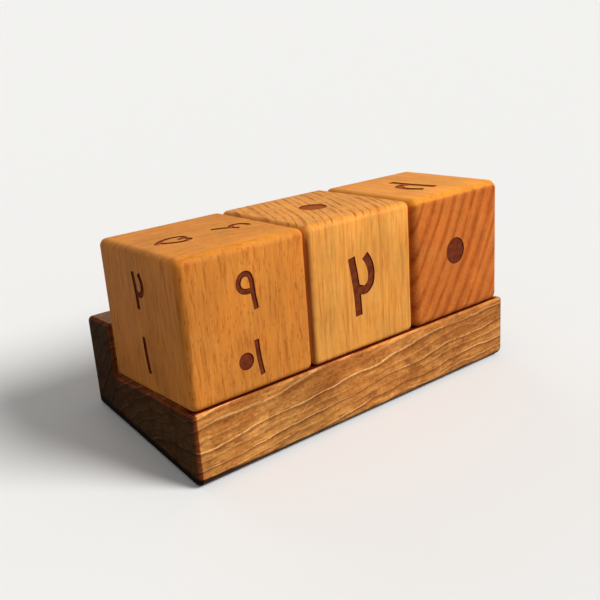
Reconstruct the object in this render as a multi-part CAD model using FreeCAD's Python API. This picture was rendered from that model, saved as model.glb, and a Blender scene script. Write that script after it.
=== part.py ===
import FreeCAD, Part
import math
import os

# Perpetual desk calendar of wooden cubes that stand in a leaning, L-shaped seat.
# Lengths are in millimetres and angles in degrees.
# The origin is on the table, in the middle of the calendar's outline seen from above.
# +X runs along the row to the reader's right, +Y to the rear, +Z up.
#
# Everything is drawn in the seat's own axes first, where the cubes stand upright:
# X starts at the stand's left end, Y at its front face and Z at the seat.
# One placement then leans it all back, until the sloping underside lies on the table.

# Cubes: one for the month and two for the digits of the day
cube_side = 50.0
month_cube_rounding = 2.5
tens_cube_rounding = 2.2
units_cube_rounding = 3.0
cube_play = 0.75
month_cube_setback = 0.4
tens_cube_setback = 0.8
units_cube_setback = 0.0

# Stand: a seat block with a back rail glued behind it
lean_angle = 9.5
left_margin = 0.5
right_margin = 3.5
rear_play = 1.0
front_height = 26.3
rail_thickness = 16.2
rail_rise = 19.0

# Edges of the stand, eased by hand after gluing, the foot most of all
front_edge_rounding = 1.0
front_foot_rounding = 3.2
rail_front_rounding = 1.2
rail_rear_rounding = 2.0
rear_foot_rounding = 1.6
left_end_rounding = 1.6
right_end_rounding = 2.2

# Sizes that follow from these
lean = math.radians(lean_angle)
row_length = 3 * cube_side + 2 * cube_play
stand_length = left_margin + row_length + right_margin
seat_depth = cube_side + rear_play
stand_depth = seat_depth + rail_thickness
front_reach = -front_height * math.sin(lean)
rear_reach = stand_depth * math.cos(lean) + rail_rise * math.sin(lean)


def underside_level(depth):
    """Height in the seat's axes of the sloping underside, at a depth behind the front face."""
    return depth * math.tan(lean) - front_height


def on_table(shape):
    """The shape leaned back with the seat and set down on the table, centred on the origin."""
    origin = FreeCAD.Vector(
        -stand_length / 2,
        -(front_reach + rear_reach) / 2,
        front_height * math.cos(lean),
    )
    leaning_back = FreeCAD.Rotation(FreeCAD.Vector(1, 0, 0), -lean_angle)
    return shape.transformed(FreeCAD.Placement(origin, leaning_back).toMatrix(), True)


def eased(solid, rounding_of):
    """The solid with each edge rounded by what rounding_of gives for it, all corners blended at once."""
    document = FreeCAD.newDocument()
    sharp = document.addObject("Part::Feature", "sharp")
    sharp.Shape = solid
    fillet = document.addObject("Part::Fillet", "fillet")
    fillet.Base = sharp
    roundings = [(number, rounding_of(edge)) for number, edge in enumerate(solid.Edges, 1)]
    fillet.Edges = [(number, radius, radius) for number, radius in roundings if radius]
    document.recompute()
    result = fillet.Shape.copy()
    FreeCAD.closeDocument(document.Name)
    return result


def cube(left, setback, rounding):
    """A solid cube standing on the seat, its six faces flat and all of its edges eased."""
    corner = FreeCAD.Vector(left, setback, 0)
    block = Part.makeBox(cube_side, cube_side, cube_side, corner)
    return eased(block, lambda edge: rounding)


# Corners of the stand's end, seen from the left: depth, height and the rounding of the long edge there
end_corners = [
    (0, underside_level(0), front_foot_rounding),
    (0, 0, front_edge_rounding),
    (seat_depth, 0, 0),
    (seat_depth, rail_rise, rail_front_rounding),
    (stand_depth, rail_rise, rail_rear_rounding),
    (stand_depth, underside_level(stand_depth), rear_foot_rounding),
]


def stand_rounding(edge):
    """How far one edge of the stand is eased; the inner corner of the seat stays sharp."""
    box = edge.BoundBox
    if box.XLength > stand_length / 2:
        return long_edge_rounding(box.Center)
    return right_end_rounding if box.Center.x > stand_length / 2 else left_end_rounding


def long_edge_rounding(point):
    """The rounding that the nearest corner of the stand's end gives for a long edge."""
    nearest = min(end_corners, key=lambda corner: math.hypot(point.y - corner[0], point.z - corner[1]))
    return nearest[2]


def glued_stand():
    """The whole L-shaped stand with its edges eased, as it is sanded after gluing."""
    outline = [FreeCAD.Vector(0, depth, height) for depth, height, rounding in end_corners]
    end_face = Part.Face(Part.makePolygon(outline + outline[:1]))
    return eased(end_face.extrude(FreeCAD.Vector(stand_length, 0, 0)), stand_rounding)


def stand_halves():
    """The seat block in front of the glue line, and the back rail behind it."""
    stand = glued_stand()
    height = front_height + rail_rise
    front_corner = FreeCAD.Vector(0, 0, -front_height)
    rear_corner = FreeCAD.Vector(0, seat_depth, -front_height)
    in_front = Part.makeBox(stand_length, seat_depth, height, front_corner)
    behind = Part.makeBox(stand_length, rail_thickness, height, rear_corner)
    return stand.common(in_front), stand.common(behind)


seat_block, back_rail = stand_halves()
pitch = cube_side + cube_play
nodes = {
    "seat_block": seat_block,
    "back_rail": back_rail,
    "month_cube": cube(left_margin, month_cube_setback, month_cube_rounding),
    "tens_cube": cube(left_margin + pitch, tens_cube_setback, tens_cube_rounding),
    "units_cube": cube(left_margin + 2 * pitch, units_cube_setback, units_cube_rounding),
}

os.makedirs("parts", exist_ok=True)
for name, shape in nodes.items():
    on_table(shape).exportStep(f"parts/{name}.step")
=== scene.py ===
import math
from functools import reduce

import bmesh
import bpy
from mathutils import Euler, Matrix, Vector, noise
from mathutils.geometry import interpolate_bezier


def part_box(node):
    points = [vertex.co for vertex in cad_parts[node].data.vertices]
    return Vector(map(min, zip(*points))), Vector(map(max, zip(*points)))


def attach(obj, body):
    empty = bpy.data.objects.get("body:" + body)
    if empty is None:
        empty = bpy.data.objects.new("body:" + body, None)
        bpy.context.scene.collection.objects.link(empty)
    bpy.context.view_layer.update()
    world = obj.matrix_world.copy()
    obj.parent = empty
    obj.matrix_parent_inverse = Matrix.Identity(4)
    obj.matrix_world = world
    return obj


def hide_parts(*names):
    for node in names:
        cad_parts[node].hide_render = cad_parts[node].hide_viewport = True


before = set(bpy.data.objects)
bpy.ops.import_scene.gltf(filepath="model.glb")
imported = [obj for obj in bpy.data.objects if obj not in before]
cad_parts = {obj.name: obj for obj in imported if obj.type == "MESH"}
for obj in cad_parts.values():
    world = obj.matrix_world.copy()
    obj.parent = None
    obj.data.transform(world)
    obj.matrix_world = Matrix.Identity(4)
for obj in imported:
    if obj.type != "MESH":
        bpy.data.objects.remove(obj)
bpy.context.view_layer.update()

# A perpetual desk calendar: three beech cubes with engraved numbers, standing in a leaning,
# L-shaped stand of stained pine. Lengths are in metres and angles in radians.
# In the seat's own axes a cube stands upright: X along the row, Y to the rear, Z up.

mm = 0.001

# Sizes that the solids have too
cube_side = 50 * mm
cube_roundings = {"month_cube": 2.5 * mm, "tens_cube": 2.2 * mm, "units_cube": 3.0 * mm}
lean = math.radians(9.5)
leaning_back = Matrix.Rotation(-lean, 3, "X")
seat_corner = Vector((-77.75, -32.537, 25.939)) * mm
row_length = 152

# Hand sanding of the cubes' edges
grid_cuts = 15
rounding_segments = 8
sanded_share = 0.10
sanded_corner_share = 0.16
sanding_wavelength = 11 * mm
rim_angle = math.radians(60)
flatness = 0.9999

# Engraving: lines with sloping flanks and a flat floor, cut into the cubes' faces
line_width = 3.4 * mm
engraving_depth = 0.32 * mm
flank_slope = 1.0
cutter_overrun = 0.3 * mm
layer_step = 0.02 * mm
path_steps = 5
dot_diameter = 10.4 * mm
dot_segments = 64
floor_turn = -0.9
month_number_share = 0.57

# Camera, at the photograph's viewing angle
camera_place = Vector((-196.14, -216.04, 167.35)) * mm
camera_turn = Euler((math.radians(64.309), math.radians(-2.057), math.radians(-39.951)))
camera_lens = 49.518
camera_shift = (0.00583, 0.02083)


def make_camera():
    data = bpy.data.cameras.new("camera")
    data.lens = camera_lens
    data.shift_x, data.shift_y = camera_shift
    data.clip_start = 10 * mm
    camera = bpy.data.objects.new("camera", data)
    camera.location = camera_place
    camera.rotation_euler = camera_turn
    bpy.context.scene.collection.objects.link(camera)
    bpy.context.scene.camera = camera


# Shader nodes


def node(tree, kind, inputs=None, **settings):
    """A new node. An input takes a value, or the output of another node."""
    made = tree.nodes.new(kind)
    for name, value in settings.items():
        setattr(made, name, value)
    for name, value in (inputs or {}).items():
        if isinstance(value, bpy.types.NodeSocket):
            tree.links.new(value, made.inputs[name])
        else:
            made.inputs[name].default_value = value
    return made


def calc(tree, operation, *values):
    """One step of arithmetic on numbers."""
    return node(tree, "ShaderNodeMath", dict(enumerate(values)), operation=operation).outputs[0]


def times(tree, *values):
    """All the numbers multiplied together."""
    return reduce(lambda product, value: calc(tree, "MULTIPLY", product, value), values)


def total(tree, *values):
    """All the numbers added up."""
    return reduce(lambda amount, value: calc(tree, "ADD", amount, value), values)


def vector_calc(tree, operation, *values):
    """One step of arithmetic on vectors."""
    made = node(tree, "ShaderNodeVectorMath", dict(enumerate(values)), operation=operation)
    return made.outputs["Value" if operation in ("LENGTH", "DOT_PRODUCT") else "Vector"]


def smooth_step(tree, value, start, end):
    """0 before start, 1 after end, and a smooth rise between them."""
    inputs = {"Value": value, "From Min": start, "From Max": end}
    return node(tree, "ShaderNodeMapRange", inputs, interpolation_type="SMOOTHSTEP").outputs[0]


def spread(tree, value, low, high):
    """A value from 0 to 1 stretched to run from low to high."""
    inputs = {"Value": value, "To Min": low, "To Max": high}
    return node(tree, "ShaderNodeMapRange", inputs).outputs[0]


def ramp(tree, value, stops):
    """A value turned into a colour or a grey by stops of (position, colour or grey)."""
    made = node(tree, "ShaderNodeValToRGB", {"Fac": value})
    elements = made.color_ramp.elements
    while len(elements) < len(stops):
        elements.new(1)
    for element, (position, colour) in zip(elements, stops):
        element.position = position
        element.color = (*colour, 1) if isinstance(colour, tuple) else (colour, colour, colour, 1)
    return made.outputs["Color"]


def mix(tree, factor, first, second, blend="MIX"):
    """Two colours mixed; a colour is a tuple or the output of another node."""
    made = node(tree, "ShaderNodeMix", data_type="RGBA", blend_type=blend)
    for socket, value in zip((made.inputs[0], made.inputs[6], made.inputs[7]), (factor, first, second)):
        if isinstance(value, bpy.types.NodeSocket):
            tree.links.new(value, socket)
        else:
            socket.default_value = (*value, 1) if isinstance(value, tuple) else value
    return made.outputs[2]


def tinted(tree, share, colour, tint):
    """A colour multiplied by a tint, in the given share."""
    return mix(tree, share, colour, mix(tree, 1.0, colour, tint, "MULTIPLY"))


def scaled(tree, colour, tone):
    """A colour made lighter or darker by a factor."""
    return node(tree, "ShaderNodeVectorMath", {0: colour, "Scale": tone}, operation="SCALE").outputs[0]


def parts_of(tree, vector):
    """The three numbers that make up a vector."""
    return list(node(tree, "ShaderNodeSeparateXYZ", {0: vector}).outputs)


def object_place(tree):
    """Where a point of the surface is, in metres from the calendar's origin."""
    return node(tree, "ShaderNodeTexCoord").outputs["Object"]


def measured_from(tree, origin, axes, unit):
    """Where a point of the surface is, along the given axes, from an origin and in the given unit."""
    inputs = {
        "Vector": object_place(tree),
        "Location": origin,
        "Rotation": axes.to_euler(),
        "Scale": (unit, unit, unit),
    }
    return node(tree, "ShaderNodeMapping", inputs, vector_type="TEXTURE").outputs[0]


def cloud(tree, space, scale, seed, detail=2.0, roughness=0.5):
    """Noise from 0 to 1, in a space that is first scaled along each of its axes."""
    inputs = {
        "Vector": vector_calc(tree, "MULTIPLY", space, scale),
        "W": seed,
        "Scale": 1.0,
        "Detail": detail,
        "Roughness": roughness,
    }
    return node(tree, "ShaderNodeTexNoise", inputs, noise_dimensions="4D").outputs["Fac"]


def spindles(tree, space, cell, share, seed):
    """Small spindles of 1 in a field of 0: a share of the cells, whose size is in millimetres, has one."""
    cells = vector_calc(tree, "ADD", vector_calc(tree, "DIVIDE", space, cell), (seed, seed, seed))
    made = node(tree, "ShaderNodeTexVoronoi", {"Vector": cells, "Scale": 1.0})
    chance = node(tree, "ShaderNodeSeparateColor", {"Color": made.outputs["Color"]}).outputs[0]
    inputs = {"Value": chance, "From Min": 1 - share, "To Min": 0.12, "To Max": 0.34}
    reach = node(tree, "ShaderNodeMapRange", inputs, clamp=False).outputs[0]
    return smooth_step(tree, calc(tree, "SUBTRACT", reach, made.outputs["Distance"]), 0.0, 0.10)


def surface(name, sheen, colour_of):
    """A material; colour_of builds its nodes and gives colour, roughness, height and depth of relief."""
    material = bpy.data.materials.new(name)
    material.use_nodes = True
    tree = material.node_tree
    shader = tree.nodes["Principled BSDF"]
    colour, roughness, height, relief = colour_of(tree)
    bump = node(tree, "ShaderNodeBump", {"Height": height, "Strength": 1.0, "Distance": relief})
    tree.links.new(colour, shader.inputs["Base Color"])
    tree.links.new(roughness, shader.inputs["Roughness"])
    tree.links.new(bump.outputs["Normal"], shader.inputs["Normal"])
    shader.inputs["Specular IOR Level"].default_value = sheen
    return material


# Wood, as it is inside the block: growth rings, fibres and rays run right through

wood_sheen = 0.05
burnt_sheen = 0.015
beech_relief = 0.15 * mm
pine_relief = 0.20 * mm
burnt_relief = 0.10 * mm


def board_axes(across_rings, with_grain):
    """Axes of a board in the row frame: across the rings, along them, and with the grain."""
    across = (leaning_back @ Vector(across_rings)).normalized()
    grain = (leaning_back @ Vector(with_grain)).normalized()
    across = (across - grain * across.dot(grain)).normalized()
    return Matrix((across, grain.cross(across), grain)).transposed()


def turned(tree, direction):
    """How much the surface faces along a direction: 1 along it, 0 square to it, -1 against it."""
    normal = node(tree, "ShaderNodeTexCoord").outputs["Normal"]
    return vector_calc(tree, "DOT_PRODUCT", normal, tuple(direction))


def facing(tree, direction, start, end):
    """1 where the surface faces along a direction or against it, and 0 where it lies along it."""
    return smooth_step(tree, calc(tree, "ABSOLUTE", turned(tree, direction)), start, end)


def growth_rings(tree, space, spacing, pith, waviness, seed, unevenness):
    """How far through its ring a point is, from 0 to 1, and a grey that differs from ring to ring."""
    flat = vector_calc(tree, "MULTIPLY", space, (1, 1, 0))
    radius = vector_calc(tree, "LENGTH", vector_calc(tree, "ADD", flat, (pith, 0, 0)))
    waves = spread(tree, cloud(tree, space, (0.05, 0.05, 0.014), seed), -waviness, waviness)
    count = calc(tree, "DIVIDE", calc(tree, "ADD", radius, waves), spacing)
    inputs = {"W": times(tree, count, 0.6), "Scale": 1.0}
    slow = node(tree, "ShaderNodeTexNoise", inputs, noise_dimensions="1D")
    uneven = calc(tree, "MULTIPLY_ADD", slow.outputs["Fac"], unevenness, count)
    grey = node(tree, "ShaderNodeTexWhiteNoise", {"W": calc(tree, "FLOOR", uneven)}, noise_dimensions="1D")
    return calc(tree, "FRACT", uneven), grey.outputs["Value"]


def cube_edge(tree, upright):
    """1 on a cube's rounded edges, fading to 0 a few millimetres in."""
    across, rearward, upward = parts_of(tree, vector_calc(tree, "ABSOLUTE", upright))
    lesser = calc(tree, "MINIMUM", across, rearward)
    greater = calc(tree, "MAXIMUM", across, rearward)
    middle = calc(tree, "MAXIMUM", lesser, calc(tree, "MINIMUM", greater, upward))
    return smooth_step(tree, middle, 0.89, 1.0)


# Looks of the three cubes
#   axes: the block's axes, across the rings, along them and with the grain
#   long, end: colours of the long grain and of the end grain
#   soaking: how far a face turns to the grain before it starts to look like end grain, and wholly does
#   soaked_rim: 1 where the end grain's colour goes round the front rim
#   neighbours: 1 where a cube stands before it, and where one stands after it
#   gap_shade: how far an edge turns to a neighbour before the painted shade between them starts, and is full
#   late: what the dark part of a ring multiplies the colours by
#   spacing, pith, waviness: the rings' width, their middle's distance and their waves, in millimetres
#   gaps: how much is left of a ring where it is broken
#   ring: a ring's darkness by how far through it a point is
#   ring_strength, end_strength: how dark the rings are on the long grain and on the end grain
#   fleck_strength, dash_strength, dash_size: ray flecks and dark dashes
#   paler: how much paler the upper front is, and the front of the top, as painted light
cube_woods = {
    "month_cube": {
        "slot": "orange_beech",
        "axes": board_axes((0.15, 1, 0), (0, 0, 1)),
        "long": (0.60, 0.210, 0.034),
        "end": (0.56, 0.204, 0.024),
        "soaking": (0.35, 0.90),
        "soaked_rim": 0.0,
        "neighbours": (0, 1),
        "gap_shade": (0.45, 0.85),
        "late": (0.72, 0.62, 0.50),
        "spacing": 5.0,
        "gaps": 0.45,
        "pith": 70,
        "waviness": 3.0,
        "ring": ((0.0, 0.0), (0.6, 0.35), (0.9, 1.0), (1.0, 0.0)),
        "ring_strength": 0.30,
        "end_strength": 0.45,
        "fleck_strength": 0.75,
        "dash_strength": 0.75,
        "dash_size": (1.1, 1.1, 0.13),
        "seed": 1.7,
        "paler": (0.0, 0.06),
    },
    "tens_cube": {
        "slot": "yellow_beech",
        "axes": board_axes((0.914, -0.407, 0), (0, 0, 1)),
        "long": (0.71, 0.302, 0.060),
        "end": (0.65, 0.265, 0.046),
        "late": (0.56, 0.38, 0.18),
        "soaking": (0.35, 0.90),
        "soaked_rim": 0.0,
        "neighbours": (1, 1),
        "gap_shade": (0.45, 0.85),
        "spacing": 3.1,
        "gaps": 0.15,
        "pith": 230,
        "waviness": 1.5,
        "ring": ((0.0, 0.0), (0.62, 0.0), (0.80, 1.0), (0.92, 1.0), (1.0, 0.0)),
        "ring_strength": 0.25,
        "end_strength": 1.0,
        "fleck_strength": 0.30,
        "dash_strength": 0.55,
        "dash_size": (1.0, 1.0, 0.085),
        "seed": 5.1,
        "paler": (0.14, 0.02),
    },
    "units_cube": {
        "slot": "red_beech",
        "axes": board_axes((0.875, 0, -0.485), (0, 1, 0)),
        "long": (0.71, 0.262, 0.025),
        "end": (0.57, 0.160, 0.028),
        "soaking": (0.84, 0.97),
        "soaked_rim": 1.0,
        "neighbours": (1, 0),
        "gap_shade": (0.72, 1.0),
        "late": (0.58, 0.42, 0.32),
        "spacing": 5.4,
        "gaps": 0.45,
        "pith": 190,
        "waviness": 1.2,
        "ring": ((0.0, 0.2), (0.25, 0.0), (0.5, 0.45), (0.7, 1.0), (0.85, 0.8), (1.0, 0.2)),
        "ring_strength": 0.20,
        "end_strength": 1.0,
        "fleck_strength": 0.20,
        "dash_strength": 0.45,
        "dash_size": (0.9, 0.9, 0.06),
        "seed": 9.4,
        "paler": (-0.04, 0.18),
    },
}


# What the beech's colours are multiplied by
beech_tints = ((1.02, 0.97, 0.90), (0.99, 1.02, 1.03))
beech_dark = (0.56, 0.42, 0.30)
beech_dash = (0.74, 0.60, 0.48)
edge_tan = (0.84, 0.72, 0.64)
painted_edge_shade = (0.30, 0.14, 0.17)


def beech(name, centre, wood):
    """Oiled beech: rings that are faint on the long grain, broken dark dashes, fibres and ray flecks."""

    def nodes(tree):
        seed = wood["seed"]
        space = measured_from(tree, centre, wood["axes"], mm)
        upright = measured_from(tree, centre, leaning_back, cube_side / 2)
        rearward, upward = parts_of(tree, upright)[1:]

        def grain(scale, number, detail=2.0, roughness=0.5):
            return cloud(tree, space, scale, seed + number, detail, roughness)

        # End grain, which a cube whose ends soaked up more oil also shows on its front rim, except at the top
        rim = times(
            tree,
            smooth_step(tree, rearward, -0.86, -0.93),
            wood["soaked_rim"],
            smooth_step(tree, turned(tree, leaning_back.col[2]), 0.45, 0.15),
        )
        end_grain = calc(tree, "MAXIMUM", facing(tree, wood["axes"].col[2], *wood["soaking"]), rim)
        long_grain = calc(tree, "SUBTRACT", 1.0, end_grain)
        flat_sawn = times(tree, facing(tree, wood["axes"].col[0], 0.3, 0.8), long_grain)
        quarter_sawn = calc(tree, "SUBTRACT", long_grain, flat_sawn)

        phase, grey = growth_rings(tree, space, wood["spacing"], wood["pith"], wood["waviness"], seed, 1.3)
        late = times(
            tree,
            ramp(tree, phase, wood["ring"]),
            spread(tree, grey, 0.75, 1.0),
            spread(tree, end_grain, wood["ring_strength"], wood["end_strength"]),
            spread(tree, smooth_step(tree, grain((0.14, 0.14, 0.03), 1), 0.30, 0.60), wood["gaps"], 1.0),
        )
        streaks = grain((0.8, 0.8, 0.06), 2, detail=3.0, roughness=0.6)
        fibres = grain((3.2, 3.2, 0.25), 3, detail=3.0)
        blotches = grain((0.07, 0.07, 0.04), 4, detail=3.0)
        dashes = smooth_step(tree, grain(wood["dash_size"], 5), 0.50, 0.68)
        dashes = times(tree, dashes, long_grain, wood["dash_strength"])
        flecks = spindles(tree, vector_calc(tree, "MULTIPLY", space, (0, 1, 1)), (1, 0.75, 4.2), 0.5, seed)
        flecks = times(tree, flecks, flat_sawn, wood["fleck_strength"])
        ribbons = times(tree, smooth_step(tree, grain((0.2, 0.8, 0.35), 6), 0.50, 0.75), quarter_sawn)
        rays = times(tree, grain((0.12, 2.6, 0.3), 7), end_grain)
        pores = smooth_step(tree, grain((3.4, 3.4, 0.3), 8, detail=1.0), 0.60, 0.75)
        pores = times(tree, pores, end_grain, 0.45)
        wisps = times(tree, smooth_step(tree, grain((1.5, 0.16, 0.15), 9), 0.48, 0.68), end_grain, 0.5)
        dashes = calc(tree, "MAXIMUM", dashes, wisps)

        colour = mix(tree, end_grain, wood["long"], wood["end"])
        tints = smooth_step(tree, grain((0.11, 0.11, 0.07), 10, detail=3.0), 0.35, 0.65)
        colour = mix(tree, 1.0, colour, mix(tree, tints, *beech_tints), "MULTIPLY")
        colour = tinted(tree, late, colour, wood["late"])
        dark = mix(tree, 1.0, colour, beech_dark, "MULTIPLY")
        colour = tinted(tree, dashes, colour, beech_dash)
        colour = mix(tree, calc(tree, "MAXIMUM", flecks, pores), colour, dark)
        colour = mix(tree, times(tree, ribbons, 0.16), colour, dark)

        # Painted light: the front and the top are paler towards the upper front edge, and the whole cube is
        # darker towards the bottom and the rear
        painted_light_slope = calc(tree, "MULTIPLY_ADD", calc(tree, "SUBTRACT", upward, rearward), 0.06, 1.0)
        lit_front, lit_top = wood["paler"]
        upper_front = times(
            tree, smooth_step(tree, upward, 0.40, 0.85), smooth_step(tree, rearward, -0.90, -0.98)
        )
        front_of_top = times(
            tree, smooth_step(tree, rearward, -0.40, -0.85), smooth_step(tree, upward, 0.90, 0.98)
        )
        painted_front_light = calc(tree, "MULTIPLY_ADD", upper_front, lit_front, 1.0)
        painted_front_light = calc(tree, "MULTIPLY_ADD", front_of_top, lit_top, painted_front_light)
        tone = total(
            tree,
            spread(tree, streaks, -0.28, 0.28),
            spread(tree, blotches, 0.72, 1.28),
            spread(tree, fibres, -0.16, 0.16),
            spread(tree, rays, -0.02, 0.12),
        )
        colour = scaled(tree, colour, times(tree, tone, painted_light_slope, painted_front_light))

        # Edges are a little browner; painted shade darkens them where two cubes stand side by side and along
        # the foot
        edge = cube_edge(tree, upright)
        colour = tinted(tree, times(tree, edge, 0.25), colour, edge_tan)
        to_right = turned(tree, (1, 0, 0))
        before, after = wood["neighbours"]
        to_neighbour = calc(tree, "MAXIMUM", times(tree, to_right, -before), times(tree, to_right, after))
        painted_gap_shade = times(
            tree,
            edge,
            smooth_step(tree, to_neighbour, *wood["gap_shade"]),
            smooth_step(tree, upward, 0.92, 0.75),
            smooth_step(tree, rearward, -0.75, -0.90),
        )
        painted_foot_shade = times(tree, smooth_step(tree, upward, -0.955, -0.985), 0.35)
        colour = tinted(tree, calc(tree, "MAXIMUM", painted_gap_shade, painted_foot_shade), colour, painted_edge_shade)

        roughness = total(tree, spread(tree, streaks, 0.38, 0.58), times(tree, end_grain, 0.08))
        height = calc(tree, "MULTIPLY_ADD", fibres, 0.6, streaks)
        height = calc(tree, "SUBTRACT", height, times(tree, late, 0.8))
        height = calc(tree, "SUBTRACT", height, times(tree, total(tree, flecks, dashes), 0.3))
        return colour, roughness, height, beech_relief

    return surface(name, wood_sheen, nodes)


def scorched(name, colour, paler, top_light_colour):
    """Wood burnt by the engraver, uneven and matt, and paler and browner where it faces up, as painted light.
    """

    def nodes(tree):
        space = vector_calc(tree, "DIVIDE", object_place(tree), (mm, mm, mm))
        soot = cloud(tree, space, (0.5, 0.5, 0.5), 2.0, detail=4.0, roughness=0.6)
        grit = cloud(tree, space, (3.5, 3.5, 3.5), 3.0)
        patches = smooth_step(tree, calc(tree, "MULTIPLY_ADD", grit, 0.4, soot), 0.5, 0.95)
        painted_top_light = mix(tree, spread(tree, patches, 0.9, 1.25), (0.0, 0.0, 0.0), top_light_colour)
        upward = smooth_step(tree, turned(tree, leaning_back.col[2]), 0.6, 0.9)
        burnt = mix(tree, upward, mix(tree, patches, colour, paler), painted_top_light)
        return burnt, spread(tree, grit, 0.6, 0.8), grit, burnt_relief

    return surface(name, burnt_sheen, nodes)


# Each look: the burnt colour, its paler patches, and its colour with painted light where it faces up
scorched_looks = {
    "scorched_edge": ((0.050, 0.009, 0.005), (0.100, 0.022, 0.010), (0.18, 0.042, 0.010)),
    "scorched_floor": ((0.118, 0.018, 0.0075), (0.210, 0.048, 0.016), (0.34, 0.074, 0.017)),
}
scorched_edge, scorched_floor = (scorched(name, *colours) for name, colours in scorched_looks.items())


# Pine: stained brown, its hard late wood left as thin pale lines, its ends almost black. shade: how light
# the board is, which for the back rail is partly a darker stain and partly painted shade
pine_boards = {
    "seat_block": {
        "axes": board_axes((-0.07, 0.35, 0.93), (1, 0, 0.075)),
        "pith": 75,
        "shade": 1.0,
        "seed": 3.3,
    },
    "back_rail": {
        "axes": board_axes((0.02, 0.70, 0.71), (1, 0.03, -0.02)),
        "pith": 60,
        # Partly painted shade: the rail is darker than the seat
        "shade": 0.62,
        "seed": 7.9,
    },
}

# The pine's own colours, and then what they are multiplied by
pine_golden = (0.62, 0.265, 0.062)
pine_brown = (0.36, 0.118, 0.022)
pine_dark = (0.17, 0.046, 0.009)
pine_pale = (0.86, 0.48, 0.190)
pine_edge = (0.40, 0.25, 0.26)
pine_end = (0.30, 0.52, 0.70)
pine_foot_shade = (0.07, 0.045, 0.05)
pine_edge_highlight = (1.20, 1.16, 1.10)
painted_seat_shadow = (0.20, 0.034, 0.030)

# Strength by how far through a ring it is, for the dark bands and the pale lines, and then by how far
# along the row it is, for the stain's coat
pine_band = ((0.0, 0.35), (0.25, 0.0), (0.50, 0.45), (0.74, 1.0), (0.84, 0.2), (1.0, 0.35))
pine_line = ((0.80, 0.0), (0.87, 1.0), (0.91, 1.0), (0.98, 0.0))
thicker_coat = ((0.16, 0.0), (0.25, 1.0), (0.34, 1.0), (0.42, 0.0))
thinner_coat = ((0.38, 0.0), (0.46, 1.0), (0.56, 1.0), (0.64, 0.0))


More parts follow.
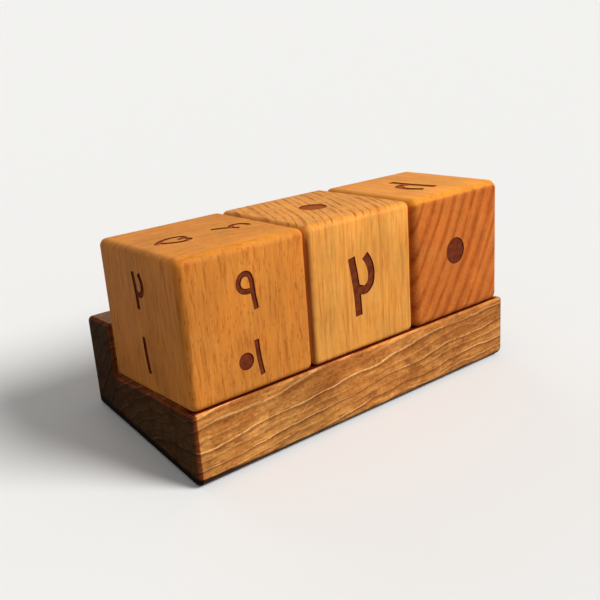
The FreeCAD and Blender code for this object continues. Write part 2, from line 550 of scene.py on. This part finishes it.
def stained_pine(name, centre, board):
    """Stained pine: golden and brown in patches, with dark bands of late wood edged by thin pale lines."""

    def nodes(tree):
        seed = board["seed"]
        space = measured_from(tree, centre, board["axes"], mm)
        across, rearward, upward = parts_of(tree, measured_from(tree, seat_corner, leaning_back, mm))
        along_row = calc(tree, "DIVIDE", across, row_length)
        end_grain = facing(tree, board["axes"].col[2], 0.90, 0.985)
        soaked = facing(tree, board["axes"].col[2], 0.11, 0.34)

        def grain(scale, number, detail=2.0, roughness=0.5):
            return cloud(tree, space, scale, seed + number, detail, roughness)

        ripples = spread(tree, grain((0.10, 0.10, 0.035), 8), -2.6, 2.6)
        ripples = total(tree, ripples, spread(tree, grain((0.35, 0.35, 0.10), 9), -0.6, 0.6))
        rippled = vector_calc(tree, "ADD", space, ripples)
        phase, grey = growth_rings(tree, rippled, 3.7, board["pith"], 3.6, seed, 0.5)
        streaks = grain((1.0, 1.0, 0.07), 1, detail=4.0, roughness=0.65)
        mottles = grain((0.21, 0.21, 0.10), 2, detail=4.0, roughness=0.6)
        drift = grain((0.03, 0.03, 0.016), 3)
        breaks = smooth_step(tree, grain((0.15, 0.15, 0.03), 4), 0.34, 0.58)
        fibres = grain((3.4, 3.4, 0.40), 5, detail=3.0)
        smudges = smooth_step(tree, grain((0.34, 0.34, 0.17), 6, detail=3.0), 0.50, 0.72)
        specks = grain((1.3, 1.3, 0.75), 7)
        pores = spindles(tree, space, (0.8, 0.8, 2.6), 0.6, seed)

        stain = total(tree, spread(tree, mottles, -1.5, 1.5), spread(tree, drift, -0.5, 1.5))
        stain = smooth_step(tree, stain, -0.2, 1.2)
        colour = mix(tree, stain, pine_golden, pine_brown)
        colour = mix(tree, times(tree, smudges, 0.6), colour, pine_dark)
        band = times(
            tree, ramp(tree, phase, pine_band), spread(tree, grey, 0.40, 1.0), spread(tree, stain, 0.75, 1.0)
        )
        colour = mix(tree, band, colour, pine_dark)
        line = times(
            tree,
            ramp(tree, phase, pine_line),
            breaks,
            spread(tree, grey, 0.25, 1.0),
            spread(tree, along_row, 1.0, 0.55),
        )
        colour = mix(tree, line, colour, pine_pale)
        colour = mix(tree, times(tree, pores, 0.55), colour, pine_dark)

        # The coat of stain is thicker left of the middle, thinner past it, and thins out to the right
        tone = total(
            tree,
            spread(tree, streaks, 0.56, 1.56),
            spread(tree, fibres, -0.36, 0.36),
            spread(tree, specks, -0.55, 0.55),
        )
        strayed = total(tree, along_row, spread(tree, mottles, -0.10, 0.10))
        tone = times(
            tree,
            tone,
            spread(tree, along_row, board["shade"] * 1.06, board["shade"] * 1.16),
            spread(tree, ramp(tree, strayed, thicker_coat), 1.0, 0.82),
            spread(tree, ramp(tree, strayed, thinner_coat), 1.0, 1.13),
        )
        colour = scaled(tree, colour, tone)
        colour = tinted(tree, soaked, colour, pine_edge)
        colour = tinted(tree, end_grain, colour, pine_end)

        # The seat: a painted highlight along its front edge, and a painted shadow before and under the cubes
        to_seat = turned(tree, leaning_back.col[2])
        # worn: a painted highlight on the rounding of the seat's front edge
        worn = times(tree, smooth_step(tree, to_seat, 0.05, 0.35), smooth_step(tree, rearward, 1.4, 0.9))
        colour = tinted(tree, worn, colour, pine_edge_highlight)
        shadow_under_cubes = times(
            tree,
            smooth_step(tree, rearward, 0.70, 0.95),
            smooth_step(tree, to_seat, 0.80, 0.95),
            smooth_step(tree, across, row_length + 0.6, row_length - 0.2),
            smooth_step(tree, upward, 1.0, 0.5),
            spread(tree, smooth_step(tree, rearward, 3.0, 9.0), 1.0, 0.3),
        )
        colour = tinted(tree, shadow_under_cubes, colour, painted_seat_shadow)

        # The foot: painted shade, a dark line of uneven height, a little higher at the left
        lower = spread(tree, smooth_step(tree, across, 0.0, 50.0), -1.0 * mm, 0.0)
        height_above_table = total(
            tree, parts_of(tree, object_place(tree))[2], lower, spread(tree, mottles, 0.9 * mm, -0.9 * mm)
        )
        painted_foot_shade = smooth_step(tree, height_above_table, 3.3 * mm, 1.9 * mm)
        colour = tinted(tree, painted_foot_shade, colour, pine_foot_shade)

        dull = times(tree, total(tree, soaked, shadow_under_cubes), 0.3)
        roughness = total(tree, spread(tree, streaks, 0.38, 0.60), dull)
        height = calc(tree, "MULTIPLY_ADD", line, 0.8, calc(tree, "MULTIPLY_ADD", fibres, 0.6, streaks))
        return colour, roughness, height, pine_relief

    return surface(name, wood_sheen, nodes)


# Digits at the day cubes' size, in millimetres from the digit's middle: the lines that the engraver
# follows. The numerals are the Persian ones. A nought is a round spot, and an eight a seven upside down
digit_lines = {
    "0": [],
    "1": [[(-1.3, 11.0), (-0.1, 4.0), (0.8, -3.0), (1.3, -11.0)]],
    "2": [
        [(-4.7, 10.9), (-3.5, 3.9), (-2.6, -3.1), (-2.2, -11.0)],
        [
            *[(1.8, 10.5), (3.2, 8.5), (4.3, 5.9), (4.65, 3.3)],
            *[(4.1, 0.2), (2.3, -1.7), (0.4, -2.0), (-2.4, -0.9)],
        ],
    ],
    "3": [
        [(-6.6, 11.0), (-5.4, 3.9), (-4.5, -3.1), (-4.1, -11.0)],
        [(-5.0, 1.6), (-3.4, -0.8), (-0.6, -1.0), (1.3, 1.4), (1.7, 7.0)],
        [(1.6, 2.4), (2.8, -0.6), (5.4, -0.9), (7.5, 1.6), (7.6, 6.2), (6.4, 10.6)],
    ],
    "4": [
        [(-5.6, 11.0), (-4.4, 3.9), (-3.5, -3.1), (-3.1, -11.0)],
        [(-4.2, -0.2), (-0.5, -0.8), (3.4, 0.2), (6.8, 2.8)],
        [(6.6, 10.3), (3.6, 10.8), (1.0, 8.8), (1.0, 5.4), (3.6, 1.2)],
    ],
    "5": [
        [
            *[(-1.6, 11.0), (2.6, 6.6), (6.0, 0.8), (6.6, -5.0)],
            *[(4.8, -9.2), (2.0, -9.6), (0.3, -7.6), (0.0, -4.2)],
        ],
        [
            *[(0.6, 8.2), (-2.9, 4.2), (-6.0, -0.8), (-6.6, -5.0)],
            *[(-4.8, -9.2), (-2.0, -9.6), (-0.3, -7.6), (0.0, -4.6)],
        ],
    ],
    "6": [
        [(4.6, 10.4), (1.2, 10.9), (-2.4, 9.2), (-3.9, 5.8), (-2.8, 2.4), (1.4, -0.6)],
        [(5.9, 2.6), (2.2, -0.4), (-1.6, -4.8), (-4.6, -11.0)],
    ],
    "7": [
        [(-6.6, 11.0), (-4.2, 4.4), (-1.9, -3.2), (-0.4, -11.0)],
        [(6.6, 11.0), (4.2, 4.4), (1.9, -3.2), (0.4, -11.0)],
    ],
    "9": [
        [
            *[(5.0, 0.8), (0.4, 0.4), (-3.4, 1.8), (-5.0, 5.2)],
            *[(-3.6, 9.2), (-0.2, 10.8), (2.9, 9.4), (4.2, 5.2)],
        ],
        [(4.0, 7.0), (4.4, 3.0), (4.7, -2.0), (6.0, -11.0)],
    ],
}
digit_lines["8"] = [[(-x, -y) for x, y in line] for line in digit_lines["7"]]

# The room that each digit takes up in a number, in millimetres
digit_widths = {"0": 12, "1": 7, "2": 14, "3": 18, "4": 16, "5": 17, "6": 14, "7": 17, "8": 17, "9": 15}

# Faces of a cube: its right-hand and upward directions for someone who reads it
face_directions = {
    "front": ((1, 0, 0), (0, 0, 1)),
    "rear": ((-1, 0, 0), (0, 0, 1)),
    "left": ((0, -1, 0), (0, 0, 1)),
    "right": ((0, 1, 0), (0, 0, 1)),
    "top": ((1, 0, 0), (0, 1, 0)),
    "bottom": ((1, 0, 0), (0, -1, 0)),
}

# Numbers on each cube: face, number, its middle in millimetres across and up the face, and its turn in
# degrees
day_numbers = {
    "tens_cube": [
        ("front", "2", -0.8, -0.6, 0),
        ("top", "0", -1.4, -1.2, 0),
        ("right", "1", 0, 0, 0),
        ("rear", "3", 0, 0, 0),
        ("left", "4", 0, 0, 0),
        ("bottom", "5", 0, 0, 0),
    ],
    "units_cube": [
        ("front", "0", -1.8, 1.4, 0),
        ("top", "2", -3.5, -1.8, 180),
        ("right", "9", 0, 0, 0),
        ("rear", "6", 0, 0, 0),
        ("left", "7", 0, 0, 0),
        ("bottom", "1", 0, 0, 0),
    ],
}
month_numbers = [
    ("front", "9", -0.7, 9.3, 0),
    ("front", "10", -1.1, -13.4, 180),
    ("left", "2", 0, 11.0, 0),
    ("left", "1", 0, -11.0, 180),
    ("top", "6", 11.7, -1.5, -90),
    ("top", "5", -11.7, -1.5, 90),
    ("rear", "4", 0, 11.0, 0),
    ("rear", "3", 0, -12.5, 180),
    ("right", "8", 0, 11.0, 0),
    ("right", "7", 0, -12.5, 180),
    ("bottom", "12", 0, 11.0, 0),
    ("bottom", "11", 0, -12.5, 180),
]


def smooth_path(points):
    """Points on a smooth curve through the given ones."""
    knots = [Vector((x, y, 0)) * mm for x, y in points]
    ends = [knots[0], *knots, knots[-1]]
    path = []
    for before, start, end, after in zip(ends, ends[1:], ends[2:], ends[3:]):
        leaving, arriving = start + (end - before) / 6, end - (after - start) / 6
        path += interpolate_bezier(start, leaving, arriving, end, path_steps + 1)[:-1]
    return path + knots[-1:]


def line_cutter(points, depth):
    """A bar bent along a path, wide at the face and narrower at the engraving's floor."""
    path = smooth_path(points)
    last = len(path) - 1
    bar = bmesh.new()
    bmesh.ops.create_cube(bar, size=1)
    lengthwise = [edge for edge in bar.edges if abs(edge.verts[0].co.x - edge.verts[1].co.x) > 0.5]
    bmesh.ops.subdivide_edges(bar, edges=lengthwise, cuts=last - 1)
    for vert in bar.verts:
        number = round((vert.co.x + 0.5) * last)
        ahead = (path[min(number + 1, last)] - path[max(number - 1, 0)]).normalized()
        side = Vector((-ahead.y, ahead.x, 0)) * math.copysign(1, vert.co.y)
        level = cutter_overrun if vert.co.z > 0 else -depth
        outward = ahead * ((number == last) - (number == 0))
        widening = level * flank_slope
        vert.co = path[number] + side * (line_width / 2 + widening) + outward * widening
        vert.co.z = level
    bar.normal_update()
    return bar


def spot_cutter(depth):
    """A round cutter for a nought, wide at the face and narrower at the engraving's floor."""
    spot = bmesh.new()
    bmesh.ops.create_cone(
        spot,
        cap_ends=True,
        segments=dot_segments,
        radius1=dot_diameter / 2 - depth * flank_slope,
        radius2=dot_diameter / 2 + cutter_overrun * flank_slope,
        depth=depth + cutter_overrun,
    )
    bmesh.ops.translate(spot, verts=spot.verts, vec=(0, 0, (cutter_overrun - depth) / 2))
    return spot


def number_place(face, across, up, turn):
    """From a number's own plane to a face of an upright cube round the origin."""
    right, upward = (Vector(direction) for direction in face_directions[face])
    outward = right.cross(upward)
    middle = outward * cube_side / 2 + (right * across + upward * up) * mm
    axes = Matrix((right, upward, outward)).transposed().to_4x4()
    return Matrix.Translation(middle) @ axes @ Matrix.Rotation(math.radians(turn), 4, "Z")


def number_cutters(number, share, place):
    """The cutters of a number, each with its layer; lines of one digit that meet are in different layers."""
    made = []
    edge = -sum(digit_widths[digit] for digit in number) / 2
    for digit in number:
        middle = (edge + digit_widths[digit] / 2) * mm * share
        edge += digit_widths[digit]
        bars = [line_cutter(line, engraving_depth / share) for line in digit_lines[digit]] or [
            spot_cutter(engraving_depth / share)
        ]
        for layer, bar in enumerate(bars):
            deeper = 1 + layer * layer_step / engraving_depth
            for face in bar.faces:
                face.material_index = 1 if face.normal.z < floor_turn else 0
            size = Matrix.Diagonal((share, share, share * deeper, 1))
            bar.transform(place @ Matrix.Translation((middle, 0, 0)) @ size)
            made.append((layer, bar))
    return made


def joined(name, meshes, materials):
    """One object that holds all the given bmeshes, which are freed."""
    whole, data = bmesh.new(), bpy.data.meshes.new(name)
    for part in meshes:
        part.to_mesh(data)
        whole.from_mesh(data)
        part.free()
    whole.to_mesh(data)
    whole.free()
    for material in materials:
        data.materials.append(material)
    made = bpy.data.objects.new(name, data)
    bpy.context.scene.collection.objects.link(made)
    return made


def sanded_block(rounding, seed):
    """A cube round the origin whose edges are rounded by hand, a little more here than there."""
    block = bmesh.new()
    bmesh.ops.create_cube(block, size=cube_side)
    bmesh.ops.subdivide_edges(block, edges=block.edges[:], cuts=grid_cuts, use_grid_fill=True)
    rims = [edge for edge in block.edges if edge.calc_face_angle() > rim_angle]
    bmesh.ops.bevel(
        block,
        geom=rims,
        offset=rounding,
        segments=rounding_segments,
        profile=0.5,
        affect="EDGES",
        material=-1,
    )
    flat = cube_side / 2 - rounding
    for vert in block.verts:
        core = Vector([max(-flat, min(flat, value)) for value in vert.co])
        out = vert.co - core
        reach = sorted((abs(value) / rounding for value in out), reverse=True)
        rub = 0.5 + 0.5 * noise.noise(vert.co / sanding_wavelength + Vector((seed, 0, 0)))
        worn = rub * (sanded_share * reach[1] + sanded_corner_share * reach[2])
        vert.co = core + out * (1 - worn)
    for face in block.faces:
        face.smooth = max(abs(value) for value in face.normal) < flatness
    return block


def engraved_cube(name, numbers, share):
    """A cube with its numbers cut in, in the place of its solid."""
    wood = cube_woods[name]
    low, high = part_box(name)
    centre = (low + high) / 2
    timber = beech(wood["slot"], centre, wood)
    cube = joined(name + "_engraved", [sanded_block(cube_roundings[name], wood["seed"])], [timber])
    cutters = []
    for face, number, across, up, turn in numbers:
        cutters += number_cutters(number, share, number_place(face, across, up, turn))
    for layer in range(max(layer for layer, bar in cutters) + 1):
        bars = [bar for bar_layer, bar in cutters if bar_layer == layer]
        cutter = joined(f"cutter_{layer}", bars, [scorched_edge, scorched_floor])
        carve = cube.modifiers.new(cutter.name, "BOOLEAN")
        carve.object = cutter
        carve.operation = "DIFFERENCE"
        carve.solver = "EXACT"
        carve.material_mode = "TRANSFER"
        carve.use_self = True
    carved = bpy.data.meshes.new_from_object(cube.evaluated_get(bpy.context.evaluated_depsgraph_get()))
    for modifier in list(cube.modifiers):
        bpy.data.objects.remove(modifier.object)
    cube.modifiers.clear()
    carved.transform(Matrix.Translation(centre) @ leaning_back.to_4x4())
    cube.data = carved
    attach(cube, name.removesuffix("_cube"))
    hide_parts(name)
    return cube


# Studio: a plain pale floor, a pale surround and soft lamps, the strongest from the front right
floor_side = 12.0
floor_seen = (0.78, 0.775, 0.76)
floor_lighting = (0.34, 0.335, 0.33)
floor_roughness = 0.9
floor_sheen = 0.1
surround_colour = (0.90, 0.90, 0.89, 1)
surround_light = 0.36
lamps = {
    "front_lamp": ((0.51, -0.51, 0.695), 28, 3.4),
    "rear_lamp": ((0.0, 0.93, 0.36), 50, 0.5),
}


def make_lamps():
    """Broad far lamps: the direction that each shines from, its width in degrees and its strength."""
    for name, (direction, width, strength) in lamps.items():
        data = bpy.data.lights.new(name, "SUN")
        data.angle = math.radians(width)
        data.energy = strength
        lamp = bpy.data.objects.new(name, data)
        lamp.rotation_euler = Vector(direction).to_track_quat("Z", "Y").to_euler()
        bpy.context.scene.collection.objects.link(lamp)


def seen_directly(tree):
    """1 where the camera sees something, directly or mirrored, and 0 where it only lights the calendar."""
    rays = node(tree, "ShaderNodeLightPath").outputs
    mirrored = calc(tree, "MAXIMUM", rays["Is Glossy Ray"], rays["Is Transmission Ray"])
    return calc(tree, "MAXIMUM", rays["Is Camera Ray"], mirrored)


def make_surround():
    """The same pale grey all round, seen at its full strength but lighting the calendar at less."""
    world = bpy.data.worlds.new("surround")
    world.use_nodes = True
    tree = world.node_tree
    background = tree.nodes["Background"]
    background.inputs["Color"].default_value = surround_colour
    tree.links.new(spread(tree, seen_directly(tree), surround_light, 1.0), background.inputs["Strength"])
    bpy.context.scene.world = world


def make_floor():
    board = bmesh.new()
    bmesh.ops.create_grid(board, x_segments=1, y_segments=1, size=floor_side / 2)
    material = bpy.data.materials.new("pale_floor")
    material.use_nodes = True
    tree = material.node_tree
    shader = tree.nodes["Principled BSDF"]
    tree.links.new(mix(tree, seen_directly(tree), floor_lighting, floor_seen), shader.inputs["Base Color"])
    shader.inputs["Roughness"].default_value = floor_roughness
    shader.inputs["Specular IOR Level"].default_value = floor_sheen
    joined("floor", [board], [material])


bpy.context.scene.view_settings.view_transform = "Standard"
make_camera()
make_lamps()
make_surround()
make_floor()

engraved_cube("month_cube", month_numbers, month_number_share)
for name, numbers in day_numbers.items():
    engraved_cube(name, numbers, 1.0)

for name, board in pine_boards.items():
    low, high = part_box(name)
    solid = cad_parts[name]
    solid.material_slots[0].material = stained_pine(name + "_pine", (low + high) / 2, board)

bpy.context.view_layer.update()
